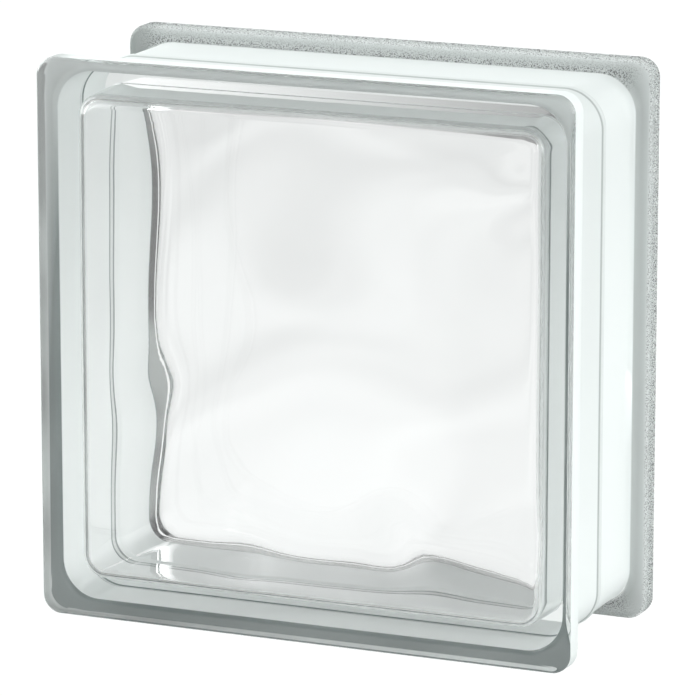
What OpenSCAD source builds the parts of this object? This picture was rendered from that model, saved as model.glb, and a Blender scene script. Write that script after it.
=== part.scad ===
// Hollow glass block for walls: two pressed halves fused into one sealed body,
// with a rim round each face and a mortar channel between the rims.
// It stands on its edge: X is the width, Y the depth (front face towards -Y), Z is up.

/* [Block] */
// Width of the face
block_w = 190; // [140:1:300]
// Height of the face
block_h = 190; // [140:1:300]
// Depth from face to face
block_d = 80; // [60:1:120]

/* [Rims] */
// Depth of the rim round each face
rim_d = 9.5; // [6:0.5:14]
// Radius of the rim's four corners
rim_corner_r = 6.5; // [4:0.5:12]
// Rounding of the rim's edges
rim_edge_r = 1.5; // [0.5:0.25:2.5]

/* [Mortar channel] */
// Depth of the channel below the rims
channel_deep = 5; // [3:0.5:8]
// Radius of the channel floor's four corners
channel_corner_r = 13; // [8:1:20]
// Width of the fused seam along the middle of the channel
seam_w = 3; // [2:0.5:6]
// Height of the fused seam above the channel floor
seam_h = 1; // [0.5:0.25:2]

/* [Glass] */
// Thickness of each face before the waves are pressed into it
face_t = 8.3; // [7:0.1:12]
// Thickness of the side walls beside the seam
wall_t = 6.5; // [5:0.5:12]
// How much each side wall thickens from the seam to the faces
wall_draft = 0.8; // [0.4:0.2:4]
// Radius of the cavity's four corners
cavity_corner_r = 9; // [7:0.5:20]
// Radius between the side walls and the faces, inside
cavity_fillet_r = 4.4; // [2:0.2:8]
// Width of the fused ridge round the middle of the cavity
ridge_w = 3.2; // [1:0.2:6]
// Height of that ridge
ridge_h = 0.6; // [0:0.1:1.5]

/* [Waves] */
// Height of the waves on the inside of each face, 1 for the usual pressing
wave_scale = 1; // [0:0.1:1.5]

/* [Hidden] */

slab_fn = 96;           // facets of a full turn in the preview of a slab's corners
edge_steps = 4;         // straight steps in a rounded edge
corner_steps = 6;       // steps round each corner of the cavity
side_steps = 20;        // steps along each side of the cavity
ridge_steps = 3;        // steps from the top of the ridge to its foot
fillet_steps = 4;       // steps round the fillet
face_rings = 15;        // rings from the edge of a face to its centre
least_corner_r = 1;     // smallest corner radius that a ring of the cavity may have
glass_colour = [0.86, 0.91, 0.90, 0.45];

channel_len = block_d - 2 * rim_d;
channel_w = block_w - 2 * channel_deep;
channel_h = block_h - 2 * channel_deep;
cavity_w = channel_w - 2 * wall_t;
cavity_h = channel_h - 2 * wall_t;
face_z = block_d / 2 - face_t;      // average height of the inner face above the seam
draft_z = face_z - cavity_fillet_r; // where the drafted wall runs into the fillet
face_inset = wall_draft + cavity_fillet_r;
ring_points = 4 * (corner_steps + side_steps);

// ---- Outer body: slabs with round corners, centred and lying flat ----

// Half section of a slab's corner: x from the corner's axis outwards, y up
module edge_section(r, t, edge_r) {
    low = [for (i = [0:edge_steps]) let (a = -90 + 90 * i / edge_steps)
        [r - edge_r + edge_r * cos(a), edge_r - t / 2 + edge_r * sin(a)]];
    high = [for (i = [edge_steps:-1:0]) [low[i].x, -low[i].y]];
    polygon(concat([[0, -t / 2]], edge_r > 0 ? concat(low, high) : [[r, -t / 2], [r, t / 2]],
        [[0, t / 2]]));
}

// A straight side of the slab, running along x, its outer edge towards -y
module slab_side(len, r, t, edge_r) {
    rotate([90, 0, -90]) linear_extrude(len, center = true) edge_section(r, t, edge_r);
}

module slab(w, h, r, t, edge_r) {
    straight_w = w - 2 * r;
    straight_h = h - 2 * r;
    cube([straight_w, straight_h, t], center = true);
    for (side = [0, 1]) rotate(180 * side) {
        translate([0, -straight_h / 2, 0]) slab_side(straight_w, r, t, edge_r);
        rotate(90) translate([0, -straight_w / 2, 0]) slab_side(straight_h, r, t, edge_r);
        translate([straight_w / 2, straight_h / 2, 0])
            rotate_extrude(angle = 90, $fn = slab_fn) edge_section(r, t, edge_r);
        translate([-straight_w / 2, straight_h / 2, 0]) rotate(90)
            rotate_extrude(angle = 90, $fn = slab_fn) edge_section(r, t, edge_r);
    }
}

module rims() {
    for (side = [-1, 1]) translate([0, 0, side * (block_d - rim_d) / 2])
        slab(block_w, block_h, rim_corner_r, rim_d, rim_edge_r);
}

module channel_body() {
    slab(channel_w, channel_h, channel_corner_r, channel_len, 0);
}

module seam() {
    slab(channel_w + 2 * seam_h, channel_h + 2 * seam_h, channel_corner_r + seam_h,
        seam_w, seam_h);
}

// ---- Waves: soft swells and dimples that the plunger leaves inside each face ----

// One swell: its place across and up as shares of the face's half size, radius, height
swells = [
    [-0.68, -0.16, 9, 1.8], [-0.57, -0.25, 14, -2.1],   // a pair left of the centre
    [-0.97, 0.03, 22, -1.1], [-0.50, 0.70, 16, -0.7],   // wide dimples up the left side
    [-0.83, 1.11, 11, -1.7], [0.80, 0.75, 15, -1.0],    // dimples in the top corners
    [0.0, 0.80, 18, 1.0], [0.35, 0.40, 20, 1.3],        // wide swells above the centre
    [0.65, -0.10, 18, -1.2], [-0.05, 0.12, 20, -0.9],   // wide dimples at half height
    [0.08, -0.52, 18, 2.4], [-0.49, -0.64, 22, 0.9],    // the strongest swells, low down
    [-0.28, -0.88, 8, 0.7], [0.44, -0.72, 8, 2.1],      // small ones along the lower edge
    [0.54, -0.71, 10, -2.6], [1.12, -0.68, 8, 2.6]
];

function swell(s, x, y) =
    let (dx = x - s[0] * (cavity_w / 2 - face_inset), dy = y - s[1] * (cavity_h / 2 - face_inset))
    s[3] * exp(-(dx * dx + dy * dy) / (2 * s[2] * s[2]));

function wave(x, y, i = 0) = i == len(swells) ? 0 : swell(swells[i], x, y) + wave(x, y, i + 1);

// The two faces carry the same waves, a quarter turn apart, so that they don't line up
function wave_on(x, y, front) = wave_scale * (front > 0 ? wave(x, y) : wave(y, -x));

// ---- Cavity: rings stacked from the centre of one face, round the walls, to the other ----

// A ring round the cavity: a rounded rectangle pulled in by inset, then scaled
function ring_outline(inset, scale) =
    let (r = max(cavity_corner_r - inset, least_corner_r),
        cx = cavity_w / 2 - inset - r, cy = cavity_h / 2 - inset - r,
        corners = [[cx, cy], [-cx, cy], [-cx, -cy], [cx, -cy]])
    [for (k = [0:3])
        let (from = corners[k] + r * [cos(90 * k + 90), sin(90 * k + 90)],
            to = corners[(k + 1) % 4] + r * [cos(90 * k + 90), sin(90 * k + 90)])
        each concat(
            [for (i = [0:corner_steps]) let (a = 90 * (k + i / corner_steps))
                scale * (corners[k] + r * [cos(a), sin(a)])],
            [for (i = [1:side_steps - 1]) scale * (from + (to - from) * i / side_steps)])];

// Half of the rings, from the flank of the ridge to the face's innermost ring:
// each is [inset, scale, height above the seam, share of the wave]
half_rings = concat(
    [for (i = [1:ridge_steps]) let (t = i / ridge_steps, z = t * ridge_w / 2)
        [wall_draft * z / draft_z + ridge_h * (1 + cos(180 * t)) / 2, 1, z, 0]],
    [[wall_draft, 1, draft_z, 0]],
    [for (i = [1:fillet_steps]) let (a = 90 * i / fillet_steps)
        [wall_draft + cavity_fillet_r * (1 - cos(a)), 1, draft_z + cavity_fillet_r * sin(a),
            sin(a)]],
    [for (i = [1:face_rings - 1]) [face_inset, 1 - i / face_rings, face_z, 1]]);

function ring(h, front) = [for (p = ring_outline(h[0], h[1]))
    [p.x, p.y, front * (h[2] - h[3] * wave_on(p.x, p.y, front))]];

module cavity() {
    half = len(half_rings);
    rear = [for (i = [half - 1:-1:0]) ring(half_rings[i], -1)];
    middle = [ring([ridge_h, 1, 0, 0], 1)];
    front = [for (i = [0:half - 1]) ring(half_rings[i], 1)];
    rings = concat(rear, middle, front);
    last = len(rings) - 1;
    rear_pole = (last + 1) * ring_points;
    poles = [for (side = [-1, 1]) [0, 0, side * (face_z - wave_on(0, 0, side))]];
    skin = [for (k = [0:last - 1]) for (i = [0:ring_points - 1])
        let (a = k * ring_points + i, b = k * ring_points + (i + 1) % ring_points)
        each [[a, a + ring_points, b], [b, a + ring_points, b + ring_points]]];
    rear_fan = [for (i = [0:ring_points - 1]) [rear_pole, i, (i + 1) % ring_points]];
    front_fan = [for (i = [0:ring_points - 1])
        [rear_pole + 1, last * ring_points + (i + 1) % ring_points, last * ring_points + i]];
    polyhedron(concat([for (r = rings) each r], poles), concat(skin, rear_fan, front_fan));
}

module glass_block() {
    color(glass_colour) translate([0, 0, block_h / 2]) rotate([90, 0, 0]) difference() {
        union() {
            rims();
            channel_body();
            seam();
        }
        cavity();
    }
}

glass_block();
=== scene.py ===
# %% [markdown]
# # A hollow glass block
# The real block is pressed as two dished halves, which are fused while hot along the middle of the edge.
# What is left is one body of clear glass round a sealed, empty space. Glass is seen almost only by what it
# bends and mirrors, so this lesson spends its time on two skins: the outer one, with its rims, channel and
# fused seam, and the inner one, with the soft waves that the press leaves inside each face. Last come the
# thin pale coat that lets mortar hold on the edge, and a room whose light the glass can bend.

# %% Load the frame
import math

import bmesh
import bpy
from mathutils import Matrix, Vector


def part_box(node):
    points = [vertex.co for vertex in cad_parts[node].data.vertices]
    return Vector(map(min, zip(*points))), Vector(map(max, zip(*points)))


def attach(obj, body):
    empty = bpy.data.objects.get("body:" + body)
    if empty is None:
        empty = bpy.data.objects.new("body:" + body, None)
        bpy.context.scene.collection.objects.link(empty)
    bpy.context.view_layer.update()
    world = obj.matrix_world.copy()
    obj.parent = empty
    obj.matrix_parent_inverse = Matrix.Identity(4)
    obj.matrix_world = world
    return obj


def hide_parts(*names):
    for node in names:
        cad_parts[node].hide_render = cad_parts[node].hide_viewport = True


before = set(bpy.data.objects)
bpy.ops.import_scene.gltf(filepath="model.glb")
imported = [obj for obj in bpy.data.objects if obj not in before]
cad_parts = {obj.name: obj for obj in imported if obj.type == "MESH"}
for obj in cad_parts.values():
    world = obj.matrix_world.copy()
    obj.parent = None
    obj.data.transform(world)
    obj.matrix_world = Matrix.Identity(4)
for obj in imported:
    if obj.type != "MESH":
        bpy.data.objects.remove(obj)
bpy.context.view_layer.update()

low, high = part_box("glass_block")
half_w = (high[0] - low[0]) / 2
half_h = (high[2] - low[2]) / 2
half_d = (high[1] - low[1]) / 2
mid_z = (high[2] + low[2]) / 2
print("block, mm:", [round(2000 * size, 1) for size in (half_w, half_d, half_h)])

# %% [markdown]
# ## Outlines and bridges
# Every section of the block is a square with round corners, but the corners of the rim are tighter than
# those of the channel floor, so one square scaled down won't do. A good way by hand is to draw the outline
# at each depth, from a plane whose corners are bevelled, and to bridge each outline to the next. All the
# outlines get the same number of points, so that the bridges are clean four-sided faces.

# %% Helpers that pick points by their place
mm = 0.001
same_place = 0.02 * mm


def edit_mesh():
    return bmesh.from_edit_mesh(bpy.context.edit_object.data)


def select_points(test):
    """Selects the points for which test(place) is true, and the edges and faces between them."""
    mesh = edit_mesh()
    for point in mesh.verts:
        point.select_set(test(point.co))
    mesh.select_flush_mode()
    bmesh.update_edit_mesh(bpy.context.edit_object.data)


def from_outline(place, outline):
    """Distance in the XZ plane from an outline, negative inside it."""
    y, w, h, r = outline
    qx = abs(place.x) - (w - r)
    qz = abs(place.z - mid_z) - (h - r)
    return math.hypot(max(qx, 0), max(qz, 0)) + min(max(qx, qz), 0) - r


def on_outline(place, outline):
    return abs(place.y - outline[0]) < same_place and abs(from_outline(place, outline)) < same_place


def ask_new_mesh(name):
    """Starts a new empty mesh object and goes into edit mode on it."""
    if bpy.context.object and bpy.context.object.mode == "EDIT":
        bpy.ops.object.mode_set(mode="OBJECT")
    bpy.ops.object.select_all(action="DESELECT")
    bpy.ops.mesh.primitive_plane_add(size=1, location=(0, 0, 0))
    piece = bpy.context.object
    piece.name = name
    piece.data.name = name
    bpy.ops.object.mode_set(mode="EDIT")
    bpy.ops.mesh.select_mode(type="VERT")
    bpy.ops.mesh.delete(type="VERT")
    return piece


# %% Draw an outline, and bridge a row of them
corner_cuts = 14    # steps round each corner
side_cuts = 31      # cuts along each straight side


def add_outline(outline):
    """Adds one outline: a plane stood upright, its corners bevelled, its face taken out."""
    y, w, h, r = outline
    bpy.ops.mesh.select_all(action="DESELECT")
    bpy.ops.mesh.primitive_plane_add(size=2, location=(0, y, mid_z), rotation=(math.pi / 2, 0, 0))
    bpy.ops.transform.resize(value=(w, 1, h), center_override=(0, y, mid_z))
    bpy.ops.mesh.bevel(offset=r, segments=corner_cuts, affect="VERTICES", clamp_overlap=False)
    bpy.ops.mesh.delete(type="ONLY_FACE")
    bpy.ops.mesh.select_mode(type="EDGE")
    bpy.ops.mesh.select_all(action="DESELECT")
    for edge in edit_mesh().edges:
        start, end = edge.verts
        straight = edge.calc_length() > min(w, h) - r
        edge.select_set(straight and on_outline(start.co, outline) and on_outline(end.co, outline))
    bpy.ops.mesh.subdivide(number_cuts=side_cuts)
    bpy.ops.mesh.select_mode(type="VERT")


def bridge_outlines(outlines):
    """Adds the outlines in turn and bridges each one to the one before."""
    add_outline(outlines[0])
    for before, after in zip(outlines, outlines[1:]):
        add_outline(after)
        select_points(lambda place: on_outline(place, before) or on_outline(place, after))
        bpy.ops.mesh.bridge_edge_loops()


def close_outline(outline):
    """Fills an open outline with one flat face."""
    select_points(lambda place: on_outline(place, outline))
    bpy.ops.mesh.edge_face_add()


# %% [markdown]
# ## Outer skin
# Outside there are five parts: a flat face, the rim round it, the step down into the channel, the channel
# floor, and in its middle the low bead where the two halves were fused. Only one half is listed, because
# the other is the same the other way round. The corners between the parts start sharp, and the bevel tool
# then rounds each loop of edges by its own radius, which is how a press mould is rounded too.

# %% Bridge the outer skin
rim_d = 9.5 * mm          # depth of each rim
rim_corner_r = 6.5 * mm
channel_deep = 5.0 * mm
channel_corner_r = 13.0 * mm
seam_half = 1.5 * mm      # half the width of the fused bead
seam_high = 0.9 * mm

floor_w, floor_h = half_w - channel_deep, half_h - channel_deep
step_y = half_d - rim_d
step_draft = 0.3 * mm     # slope of the step, so that the mould lets go of it
face_edge = (-half_d, half_w, half_h, rim_corner_r)
rim_back = (-step_y - step_draft, half_w, half_h, rim_corner_r)
step_root = (-step_y, floor_w, floor_h, channel_corner_r)
bead_foot = (-seam_half, floor_w, floor_h, channel_corner_r)
bead_top = (0, floor_w + seam_high, floor_h + seam_high, channel_corner_r + seam_high)
front_half = [face_edge, rim_back, step_root, bead_foot]
rear_half = [(-y, w, h, r) for y, w, h, r in reversed(front_half)]

outer = ask_new_mesh("outer_skin")
bridge_outlines(front_half + [bead_top] + rear_half)
close_outline(front_half[0])
close_outline(rear_half[-1])
print("outer skin:", len(edit_mesh().faces), "faces")


# %% Round its edges
def round_loop(outline, radius, steps):
    """Rounds the loop of edges on an outline, at both ends of the block."""
    y, w, h, r = outline
    mirrored = (-y, w, h, r)
    bpy.ops.mesh.select_mode(type="EDGE")
    bpy.ops.mesh.select_all(action="DESELECT")
    for edge in edit_mesh().edges:
        start, end = edge.verts
        level = abs(start.co.y - end.co.y) < same_place
        edge.select_set(level and any(
            on_outline(start.co, side) and on_outline(end.co, side) for side in (outline, mirrored)))
    bpy.ops.mesh.bevel(offset=radius, segments=steps, affect="EDGES", clamp_overlap=False)
    bpy.ops.mesh.select_mode(type="VERT")


round_loop(step_root, 2.2 * mm, 6)
round_loop(rim_back, 1.4 * mm, 5)
round_loop(face_edge, 1.6 * mm, 6)
round_loop(bead_foot, 0.7 * mm, 3)
round_loop(bead_top, 0.7 * mm, 4)
print("outer skin, rounded:", len(edit_mesh().faces), "faces")

# %% Ring each flat face, so that the rounding beside it can't tilt the light on it
bpy.ops.mesh.select_mode(type="FACE")
for face in edit_mesh().faces:
    face.select_set(abs(face.calc_center_median().y) > half_d - same_place)
for ring_width in (0.5 * mm, 1 * mm, 1.5 * mm):
    bpy.ops.mesh.inset(thickness=ring_width)
bpy.ops.mesh.select_mode(type="VERT")
bpy.ops.mesh.select_all(action="SELECT")
bpy.ops.mesh.normals_make_consistent(inside=False)
bpy.ops.object.mode_set(mode="OBJECT")
print("outer skin:", len(outer.data.polygons), "faces")

# %% [markdown]
# ## Inner skin
# The plunger that pressed each half left a dish with sloping walls, a soft fillet and a face that isn't
# flat: it carries waves, so that nobody sees clearly through the wall. Where the halves met, a low ridge of
# squeezed-out glass runs round the middle. A cube with bevelled edges could stand for the cavity, but its
# corners would all get one radius and it would have no ridge, so the walls are bridged from outlines, as
# before. Each face is then filled with a grid, because waves need points all over it.

# %% Bridge the walls of the cavity
wall_t = 6.5 * mm
wall_draft = 0.8 * mm
face_t = 8.3 * mm
cavity_corner_r = 9.0 * mm
least_corner_r = 1.0 * mm
fillet_r = 4.4 * mm
inner_seam_high = 0.6 * mm
inner_seam_half = 1.6 * mm
fillet_steps = 8
wall_steps = 6

cavity_w, cavity_h = floor_w - wall_t, floor_h - wall_t
face_y = half_d - face_t
draft_y = face_y - fillet_r


def cavity_outline(y, inset):
    return (y, cavity_w - inset, cavity_h - inset, max(cavity_corner_r - inset, least_corner_r))


def wall_inset(y):
    """How far the wall stands in from its widest place: it slopes, and carries the fused ridge."""
    ridge = inner_seam_high * 0.5 * (1 + math.cos(math.pi * min(abs(y) / inner_seam_half, 1)))
    return wall_draft * abs(y) / draft_y + ridge


ridge_steps = 6
wall_y = [-inner_seam_half * i / ridge_steps for i in range(ridge_steps + 1)]
wall_y += [-inner_seam_half - (draft_y - inner_seam_half) * i / wall_steps for i in range(1, wall_steps + 1)]
wall = [cavity_outline(y, wall_inset(y)) for y in wall_y]
fillet = []
for i in range(1, fillet_steps + 1):
    turn = math.radians(90 * i / fillet_steps)
    inset = wall_draft + fillet_r * (1 - math.cos(turn))
    fillet.append(cavity_outline(-draft_y - fillet_r * math.sin(turn), inset))
front_wall = list(reversed(wall + fillet))
rear_wall = [(-y, w, h, r) for y, w, h, r in (wall + fillet)[1:]]

inner = ask_new_mesh("inner_skin")
bridge_outlines(front_wall + rear_wall)
print("walls of the cavity:", len(edit_mesh().faces), "faces")

# %% Fill the two inner faces with a grid
for outline in (front_wall[0], rear_wall[-1]):
    select_points(lambda place: on_outline(place, outline))
    bpy.ops.mesh.fill_grid(span=corner_cuts // 2 + side_cuts // 2)
    bpy.ops.mesh.subdivide(number_cuts=1)
print("inner skin:", len(edit_mesh().faces), "faces")
bpy.ops.mesh.select_all(action="SELECT")
bpy.ops.mesh.normals_make_consistent(inside=True)
bpy.ops.object.mode_set(mode="OBJECT")

# %% [markdown]
# ## Waves
# The waves are soft swells and dimples a centimetre or two wide and a millimetre or two high. Sculpting
# them by hand would work, but would be hard to repeat, and noise would give waves of one kind all over.
# Here each swell is a rounded hill with its own place, width and height, as in the part's source, and the
# hills add up. The rear face is pressed with the same plunger, a quarter turn on. The fillet takes a
# growing share of the wave, so that the junction of face and wall wanders, as it does on a real block.

# %% Press the waves into the two faces
face_half = cavity_w - wall_draft - fillet_r
# Soft swells of one face: across and up from its centre as shares of its half size, radius, height, in mm
swells = (
    (-0.68, -0.16, 9, 1.8), (-0.57, -0.25, 14, -2.1), (-0.97, 0.03, 22, -1.1), (-0.50, 0.70, 16, -0.7),
    (-0.83, 1.11, 11, -1.7), (0.08, -0.52, 18, 2.4), (0.44, -0.72, 8, 2.1), (-0.28, -0.88, 8, 0.7),
    (1.12, -0.68, 8, 2.6), (-0.49, -0.64, 22, 0.9), (0.54, -0.71, 10, -2.6), (0.35, 0.40, 20, 1.3),
    (0.80, 0.75, 15, -1.0), (0.0, 0.80, 18, 1.0), (0.65, -0.10, 18, -1.2), (-0.05, 0.12, 20, -0.9),
)


def wave(across, up):
    """Rise of the inner face at a place given in metres from its centre."""
    rise = 0
    for share_x, share_z, radius, height in swells:
        dx = across - share_x * face_half
        dz = up - share_z * face_half
        rise += height * mm * math.exp(-(dx * dx + dz * dz) / (2 * (radius * mm) ** 2))
    return rise


for point in inner.data.vertices:
    x, y, z = point.co
    share = min(max((abs(y) - draft_y) / fillet_r, 0), 1)
    if share > 0:
        up = z - mid_z
        point.co.y += share * (wave(x, up) if y < 0 else -wave(up, -x))
reach = [point.co.y / mm for point in inner.data.vertices]
print("the cavity reaches from", round(min(reach), 1), "to", round(max(reach), 1), "mm from the seam")

# %% [markdown]
# ## One body of glass
# Light must enter the glass at one skin and leave it at the other, so the two skins belong to one closed
# mesh, the inner one facing into the cavity. Weighted normals keep the flat faces optically flat beside the
# small roundings: with plain smooth shading the light on them would be bent near every edge.

# %% Join the two skins
bpy.ops.object.select_all(action="DESELECT")
inner.select_set(True)
outer.select_set(True)
bpy.context.view_layer.objects.active = outer
bpy.ops.object.join()
block = outer
block.name = "pressed_block"
block.data.name = "pressed_block"
bpy.ops.object.shade_smooth()
flat_first = 80           # how far the large flat faces outweigh the small ones beside them
weights = block.modifiers.new("even_shading", "WEIGHTED_NORMAL")
weights.weight = flat_first
bpy.ops.object.modifier_apply(modifier=weights.name)
print("block:", len(block.data.polygons), "faces")

# %% [markdown]
# ## Where the coat lies
# The edge of the block carries a pale coat, smooth in the channel and gritty where it gathered, along
# the root of the rear step and the back of the rear rim. Painted shade greys it down the steps, at the feet
# of the bead and towards the top of the channel, and a little towards the front and the right; more painted
# shade darkens its left side, where the light from the left is strongest, and a speckled painted dark
# outline runs along the back of the rear rim. A second mesh for the coat would need a gap or an overlap with
# the glass and would trap the light, so the coat is a mark on the glass itself: five shares, kept at every
# point of the skin, which the material reads.

# %% Mark the coat on the edge of the block
clear_front = 1.5 * mm    # the coat stops this far from the front face
clear_rear = 0.9 * mm     # and this far from the rear one
step_low = step_y - 1.5 * mm    # the steps begin here, counted from the seam
side_skin = 0.8 * mm      # points this near the rims' outer sides belong to them
full_cover = 0.9
foot_reach = 0.5 * mm
# painted shade: grey on the bead and on the outer side of the rear rim, deepening down each step
bead_grey, side_grey = 0.2, 0.5
top_grey, front_grey, right_grey = 0.17, 0.1, 0.05    # painted shade greys the channel towards the top; it is also greyer towards the front and the right
step_shade_slope = 0.75       # painted shade: the front step is greyer low down and lighter at the top
rim_front, rim_left, rim_least = 0.35, 0.3, 0.1
rim_grit, painted_outline, step_grit = 0.6, 1.5, 0.2    # least at the step's edge, most at the rear outline, where the specks are a painted dark outline
outline_start, outline_end = half_d - 2.4 * mm, half_d - 1.6 * mm
back_start, back_end = half_d - 3 * mm, half_d - 7 * mm
root_start, root_end = 0.4 * channel_deep, 0.9 * channel_deep
level_start, level_end = -4 * mm, 6 * mm    # gritty specks gather on the level steps and not on the upright ones


def from_rim(place):
    return from_outline(place, (place.y, half_w, half_h, rim_corner_r))


def share_of(value, start, end):
    """How far a value has come from start to end, from 0 to 1."""
    return min(max((value - start) / (end - start), 0), 1)


def cover_share(place):
    """How thickly the coat covers the glass: not at all on the faces and in the cavity."""
    below_floor = from_outline(place, (place.y, floor_w, floor_h, channel_corner_r))
    if place.y < clear_front - half_d or place.y > half_d - clear_rear or below_floor < -channel_deep / 2:
        return 0.0
    return full_cover


def shade_share(place):
    """How much painted shade greys the coat: little in the channel but for the foot of the bead, more down
    each step.
    """
    if cover_share(place) == 0:
        return 0.0
    if abs(place.y) < step_low:
        if abs(abs(place.y) - seam_half) < foot_reach:
            return 1.0
        channel_shade = top_grey * (place.z - mid_z) / half_h
        if place.y < 0:
            channel_shade += front_grey + right_grey * place.x / half_w
        return max(channel_shade, bead_grey * (abs(place.y) < seam_half), 0)
    if from_rim(place) > -side_skin:
        return side_grey if place.y > 0 else 0.0
    height_shade = 1.0 if place.y > 0 else 1 - step_shade_slope * (place.z - mid_z) / half_h
    return height_shade * (side_grey + (1 - side_grey) * share_of(-from_rim(place), 0, channel_deep))


def grit_and_outline_share(place):
    """How gritty the coat is: most at the root of the rear step and along the back of the rear rim, where a
    speckled painted dark outline follows the rear edge.
    """
    if cover_share(place) == 0 or place.y < step_low:
        return 0.0
    if from_rim(place) > -side_skin:
        outline = share_of(place.y, outline_start, outline_end)
        return rim_grit * share_of(place.y, back_start, back_end) + painted_outline * outline
    level = share_of(abs(place.z - mid_z) - abs(place.x), level_start, level_end)
    return level * (step_grit + (1 - step_grit) * share_of(-from_rim(place), root_start, root_end))


def rim_share(place):
    """Painted shade on the rims' outer sides, seen from inside: 1 on the rear rim, less on the front one,
    most at its left, 0 elsewhere.
    """
    if from_rim(place) < -side_skin:
        return 0.0
    if place.y > 0:
        return 1.0
    return max(rim_front - rim_left * place.x / half_w, rim_least)


def left_shade_share(place):
    """How much painted shade darkens the outer face of the coat: on the left side of the block, where the
    light from the left is strongest, and none elsewhere.
    """
    if cover_share(place) == 0:
        return 0.0
    return share_of(-place.x, half_w - 2 * channel_deep, half_w - channel_deep)


coat_marks = {
    "cover": cover_share, "shade": shade_share, "grit_and_outline": grit_and_outline_share, "rim": rim_share, "left_shade": left_shade_share}
for name, share in coat_marks.items():
    layer = block.data.attributes.new(name, "FLOAT", "POINT")
    marked = 0
    for point in block.data.vertices:
        layer.data[point.index].value = share(point.co)
        marked += layer.data[point.index].value > 0
    print(name, "marks", marked, "of", len(block.data.vertices), "points")

# %% [markdown]
# ## Clear glass
# Pressed glass is smooth but never as flat as float glass: its skin carries a ripple a few hundredths of a
# millimetre high, and it is a touch less polished in some places than in others. Both come from noise fixed
# to the block, so that they hold from every side. A perfectly smooth material would be quicker, but its
# long edges and reflections would look drawn with a ruler.

# %% Clear glass
glass = bpy.data.materials.new("pressed_glass")
glass.use_nodes = True
nodes, links = glass.node_tree.nodes, glass.node_tree.links
shader = nodes["Principled BSDF"]
shader.inputs["Base Color"].default_value = (1, 1, 1, 1)
shader.inputs["Transmission Weight"].default_value = 1.0
shader.inputs["IOR"].default_value = 1.52


def node_with(kind, values):
    """A new node of the glass, its inputs set by name."""
    node = nodes.new(kind)
    for name, value in values.items():
        node.inputs[name].default_value = value
    return node


place_of = nodes.new("ShaderNodeTexCoord").outputs["Object"]


def noise(size, detail):
    """Noise whose blobs are about this many metres across, fixed to the block."""
    node = node_with("ShaderNodeTexNoise", {"Scale": 1 / size, "Detail": detail, "Roughness": 0.6})
    links.new(place_of, node.inputs["Vector"])
    return node.outputs["Fac"]


def ranged(source, from_low, from_high, to_low, to_high):
    """The source brought from one range of values to another, and held there."""
    node = node_with("ShaderNodeMapRange", {
        "From Min": from_low, "From Max": from_high, "To Min": to_low, "To Max": to_high})
    links.new(source, node.inputs["Value"])
    return node.outputs["Result"]


def colour_socket(sockets, name):
    """The colour socket of this name: a mix node has one for each kind of value."""
    return [socket for socket in sockets if socket.name == name and socket.type == "RGBA"][0]


def mixed(share, first, second):
    """Two colours, given or wired in, mixed by a share."""
    node = nodes.new("ShaderNodeMix")
    node.data_type = "RGBA"
    links.new(share, node.inputs["Factor"])
    for name, colour in (("A", first), ("B", second)):
        socket = colour_socket(node.inputs, name)
        if isinstance(colour, tuple):
            socket.default_value = colour
        else:
            links.new(colour, socket)
    return colour_socket(node.outputs, "Result")


ripple_size = 14 * mm
polish_size = 30 * mm
ripple_bump = node_with("ShaderNodeBump", {"Strength": 0.3, "Distance": 0.05 * mm})
links.new(noise(ripple_size, 1.0), ripple_bump.inputs["Height"])
links.new(ripple_bump.outputs["Normal"], shader.inputs["Normal"])
links.new(ranged(noise(polish_size, 2.0), 0.35, 0.7, 0.0, 0.02), shader.inputs["Roughness"])
print("clear glass:", len(nodes), "nodes, index of refraction", round(shader.inputs["IOR"].default_value, 2))

# %% [markdown]
# ## Coat
# The coat is a thin layer that lets some light through: from outside one sees its dull, partly gritty face,
# and from inside, through the glass, the smooth base of the same layer. It is mixed from two shaders, one
# that scatters light back and one that scatters it through, in place of a white paint that would stop all
# light.
# Seen from inside, the steps carry painted shade, and the outer sides of the rims are painted darkest, as
# painted shade for the dark lines that the glass draws along them.

# %% Coat
channel_outside = (0.85, 0.90, 0.89, 1)
channel_inside = (0.95, 0.99, 0.98, 1)
step_outside = (0.43, 0.47, 0.46, 1)
# painted shade: the coat's colours on the left side, where the light from the left is strongest
left_shaded_channel = (0.50, 0.54, 0.53, 1)
left_shaded_step = (0.27, 0.30, 0.29, 1)
# painted shade: the darker colours of the steps seen from inside
step_inside = (0.14, 0.18, 0.175, 1)
step_cloud = (0.21, 0.25, 0.245, 1)
speck_dark = (0.03, 0.03, 0.03, 1)
# colours of the rims seen from inside: painted shade for the dark lines along the rims
rim_light = (0.36, 0.39, 0.38, 1)
rim_dark = (0.03, 0.03, 0.03, 1)
through_share = 0.27      # share of the coat's light that comes through it from behind
grit_size, step_cloud_size, rim_cloud_size = 0.42 * mm, 45 * mm, 40 * mm


def mark(name):
    """The share of the surface that was marked with this name."""
    node = nodes.new("ShaderNodeAttribute")
    node.attribute_name = name
    return node.outputs["Fac"]


def product(first, second):
    node = nodes.new("ShaderNodeMath")
    node.operation = "MULTIPLY"
    links.new(first, node.inputs[0])
    links.new(second, node.inputs[1])
    return node.outputs[0]


from_inside = nodes.new("ShaderNodeNewGeometry").outputs["Backfacing"]
grit_and_outline = noise(grit_size, 2.0)
# specks of grit, and a speckled painted dark outline along the back of the rear rim
specks = product(mark("grit_and_outline"), ranged(grit_and_outline, 0.50, 0.42, 0.0, 1.0))
# painted shade from the shade mark: greyer down the steps, at the feet of the bead and towards the top of
# the channel
coat_without_left_shade = mixed(mark("shade"), channel_outside, step_outside)
# the same coat with painted shade, for the left side where the light from the left is strongest
left_shaded_coat = mixed(mark("shade"), left_shaded_channel, left_shaded_step)
outside_colour = mixed(specks, mixed(mark("left_shade"), coat_without_left_shade, left_shaded_coat), speck_dark)
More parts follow.
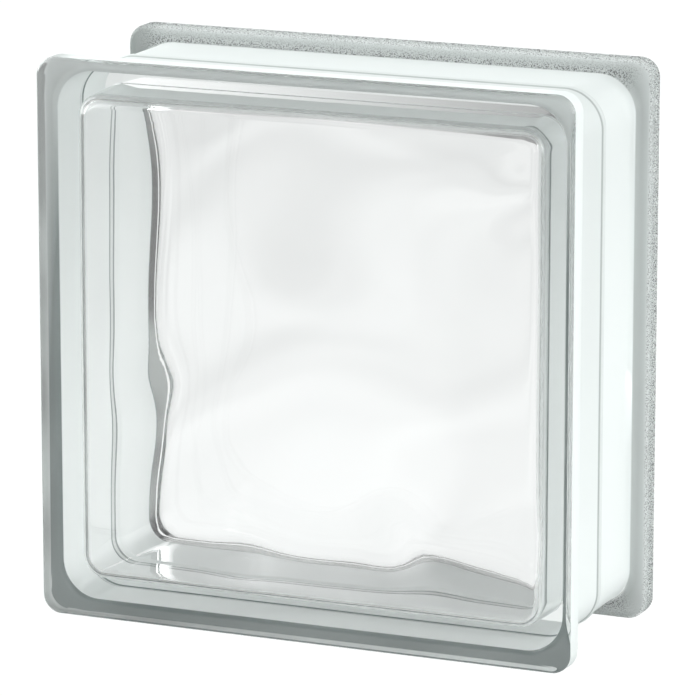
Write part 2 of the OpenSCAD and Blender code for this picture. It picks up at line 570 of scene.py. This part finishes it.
# painted shade: the rims' outer sides, seen from inside, are dark, for the dark lines that the glass draws
# there
painted_rim_shade = mixed(ranged(noise(rim_cloud_size, 1.0), 0.40, 0.60, 0.0, 1.0), rim_dark, rim_light)
step_colour = mixed(ranged(noise(step_cloud_size, 0.0), 0.35, 0.65, 0.0, 1.0), step_inside, step_cloud)
# painted shade on the steps seen from inside, from the shade mark
inside_shade = ranged(mark("shade"), 0.0, 0.7, 0.0, 1.0)
inside_colour = mixed(mark("rim"), mixed(inside_shade, channel_inside, step_colour), painted_rim_shade)
coat_colour = mixed(from_inside, outside_colour, inside_colour)
grit_bump = node_with("ShaderNodeBump", {"Distance": 0.15 * mm})
links.new(grit_and_outline, grit_bump.inputs["Height"])
links.new(ranged(mark("grit_and_outline"), 0.0, 1.0, 0.03, 0.6), grit_bump.inputs["Strength"])

front_of_coat = nodes.new("ShaderNodeBsdfDiffuse")
back_of_coat = nodes.new("ShaderNodeBsdfTranslucent")
for side_of_coat in (front_of_coat, back_of_coat):
    links.new(coat_colour, side_of_coat.inputs["Color"])
links.new(grit_bump.outputs["Normal"], front_of_coat.inputs["Normal"])
coat_mix = nodes.new("ShaderNodeMixShader")
coat_mix.inputs[0].default_value = through_share
links.new(front_of_coat.outputs[0], coat_mix.inputs[1])
links.new(back_of_coat.outputs[0], coat_mix.inputs[2])

skin = nodes.new("ShaderNodeMixShader")
links.new(mark("cover"), skin.inputs[0])
links.new(shader.outputs[0], skin.inputs[1])
links.new(coat_mix.outputs[0], skin.inputs[2])
links.new(skin.outputs[0], nodes["Material Output"].inputs["Surface"])
print("glass with its coat:", len(nodes), "nodes")

# %% [markdown]
# ## Tint in the body of the glass
# Even clear glass is faintly green-grey where one looks through a lot of it. Colouring the skin would tint
# thin and thick places alike, so the tint is an absorption inside the body, which grows with the distance
# that the light travels in the glass.

# %% Tint
tint = nodes.new("ShaderNodeVolumeAbsorption")
tint.inputs["Color"].default_value = (0.80, 0.88, 0.86, 1)
tint.inputs["Density"].default_value = 4.0
links.new(tint.outputs["Volume"], nodes["Material Output"].inputs["Volume"])
block.data.materials.clear()
block.data.materials.append(glass)

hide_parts("glass_block")
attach(block, "root")
print("tint: density", tint.inputs["Density"].default_value, "for each metre of glass")

# %% [markdown]
# ## Camera
# The block is seen from the right and a little above, through a long lens, so that its edges stay nearly
# parallel. The camera is tilted a trifle more than it stands, to keep the block in the middle of the frame.

# %% Camera
bpy.ops.object.camera_add()
camera = bpy.context.object
azimuth, elevation, tilt = math.radians(23.45), math.radians(12.89), math.radians(13.00)
distance = 1.684
target = Vector((0, 0, mid_z))


def towards(angle, rise):
    """The direction from the block out to a camera that stands at this angle and height."""
    return Vector((math.sin(angle) * math.cos(rise), -math.cos(angle) * math.cos(rise), math.sin(rise)))


camera.location = target + towards(azimuth, elevation) * distance
camera.rotation_mode = "QUATERNION"
camera.rotation_quaternion = (-towards(azimuth, tilt)).to_track_quat("-Z", "Y")
camera.data.sensor_width = 36
camera.data.lens = 261.6
camera.data.clip_end = 50
bpy.context.scene.camera = camera
print("camera at", [round(part, 3) for part in camera.location], "metres")

# %% [markdown]
# ## Floor and light
# Glass has no shade of its own, so the room is part of the finish. The block stands on a white table that
# glows by itself, so it shows no shadow and fills the faces with even light. Two broad patches of light left
# and right make the coated edges glow, a third between the right one and the camera lights the rims, weaker
# ones behind and above give the upper walls their tone, and straight in front of the block it is dark, which
# draws the dark lines along the roundings. Lamps would mirror as hard white spots in the faces, so all the
# light comes from a soft world and from the glowing table. Its glow is painted to fade away from the block
# and to drift a little from place to place, painted pools of light as under real soft lamps, which the waves
# bend into faint clouds.

# %% Floor
floor_seen = 1.05         # the floor is a white table that glows by itself: how bright it glows to the camera,
floor_near = 1.02         # through the glass, close to the block
floor_far = 0.84          # and a metre away from it,
floor_on_coat = 0.38      # and to the coated edges
floor_reach = 1.0
floor_middle = (0.1, 0.0, 0.0)
cloud_stretch = (12.0, 3.0, 1.0)    # the table's painted pools of light are narrow from left to right
room_light = {            # direction in the room, and strength
    "front": ((0, -1, 0), 0.0), "back": ((0, 1, 0), 0.3), "top": ((0, 0, 1), 0.35),
    "left": ((-1, 0, 0), 6.2), "right": ((1, 0, 0), 4.3), "key": ((0.75, -0.65, 0.0), 2.8)}
lobe_start, lobe_end = 0.3, 0.8    # how nearly a direction must match a patch to see its edge and its middle

bpy.ops.mesh.primitive_plane_add(size=40, location=(0, 0, 0))
floor = bpy.context.object
floor.name = "studio_floor"
paper = bpy.data.materials.new("white_floor")
paper.use_nodes = True
floor.data.materials.append(paper)
world = bpy.data.worlds.new("studio")
bpy.context.scene.world = world
world.use_nodes = True
print("floor:", floor.dimensions.x, "m wide; patches of light in the room:", len(room_light))


def maths(tree, operation, a, b):
    """Two numbers, given or wired in, put through one operation."""
    node = tree.nodes.new("ShaderNodeMath")
    node.operation = operation
    for socket, value in zip(node.inputs, (a, b)):
        if isinstance(value, float):
            socket.default_value = value
        else:
            tree.links.new(value, socket)
    return node.outputs[0]


# %% Light of the table
tree = paper.node_tree
paper_shader = tree.nodes["Principled BSDF"]
paper_shader.inputs["Base Color"].default_value = (0, 0, 0, 1)
paper_shader.inputs["Roughness"].default_value = 1.0
paper_shader.inputs["Specular IOR Level"].default_value = 0.0
paper_shader.inputs["Emission Color"].default_value = (0.985, 1, 0.995, 1)
table = tree.nodes.new("ShaderNodeTexCoord")
reach = tree.nodes.new("ShaderNodeVectorMath")
reach.operation = "DISTANCE"
reach.inputs[1].default_value = floor_middle
tree.links.new(table.outputs["Object"], reach.inputs[0])
stretch = tree.nodes.new("ShaderNodeVectorMath")
stretch.operation = "MULTIPLY"
stretch.inputs[1].default_value = cloud_stretch
tree.links.new(table.outputs["Object"], stretch.inputs[0])
# painted pools of light: noise that makes the table's glow drift in patches
clouds = tree.nodes.new("ShaderNodeTexNoise")
clouds.inputs["Scale"].default_value = 1.0
clouds.inputs["Detail"].default_value = 1.0
tree.links.new(stretch.outputs[0], clouds.inputs["Vector"])
patches = tree.nodes.new("ShaderNodeMapRange")
for name, value in (("From Min", 0.3), ("From Max", 0.7), ("To Min", 0.9), ("To Max", 1.05)):
    patches.inputs[name].default_value = value
tree.links.new(clouds.outputs["Fac"], patches.inputs["Value"])
# painted falloff of light: the table glows brightest near the block and less a metre away
falloff = tree.nodes.new("ShaderNodeMapRange")
for name, value in (("From Max", floor_reach), ("To Min", floor_near), ("To Max", floor_far)):
    falloff.inputs[name].default_value = value
tree.links.new(reach.outputs["Value"], falloff.inputs["Value"])
path = tree.nodes.new("ShaderNodeLightPath")
by_coat = maths(tree, "MINIMUM", path.outputs["Diffuse Depth"], 1.0)
drop = maths(tree, "MULTIPLY", by_coat, floor_near - floor_on_coat)
patchy = maths(tree, "MULTIPLY", falloff.outputs["Result"], patches.outputs["Result"])
through = maths(tree, "SUBTRACT", patchy, drop)
glow = maths(tree, "MAXIMUM", through, maths(tree, "MULTIPLY", path.outputs["Is Camera Ray"], floor_seen))
tree.links.new(glow, paper_shader.inputs["Emission Strength"])
print("light of the table:", len(tree.nodes), "nodes")

# %% World
tree = world.node_tree
where = tree.nodes.new("ShaderNodeTexCoord").outputs["Generated"]


def lobe(direction):
    """A soft patch of the room that lies in one direction, from 0 to 1."""
    along = tree.nodes.new("ShaderNodeVectorMath")
    along.operation = "DOT_PRODUCT"
    along.inputs[1].default_value = direction
    tree.links.new(where, along.inputs[0])
    part = tree.nodes.new("ShaderNodeMapRange")
    part.interpolation_type = "SMOOTHSTEP"
    part.inputs["From Min"].default_value = lobe_start
    part.inputs["From Max"].default_value = lobe_end
    tree.links.new(along.outputs["Value"], part.inputs["Value"])
    return part.outputs["Result"]


covered = room = 0.0
for direction, strength in room_light.values():
    part = lobe(direction)
    covered = maths(tree, "ADD", covered, part)
    room = maths(tree, "ADD", room, maths(tree, "MULTIPLY", part, strength))
room = maths(tree, "DIVIDE", room, maths(tree, "ADD", covered, 0.05))
camera_ray = tree.nodes.new("ShaderNodeLightPath").outputs["Is Camera Ray"]
tree.links.new(maths(tree, "MAXIMUM", room, camera_ray), tree.nodes["Background"].inputs["Color"])
print("world:", len(tree.nodes), "nodes")

# %% Let light pass many skins of glass, and show its tones as they are
scene = bpy.context.scene
scene.cycles.max_bounces = 32
scene.cycles.transmission_bounces = 32
scene.cycles.glossy_bounces = 16
scene.view_settings.view_transform = "Standard"
print("bounces:", scene.cycles.max_bounces)
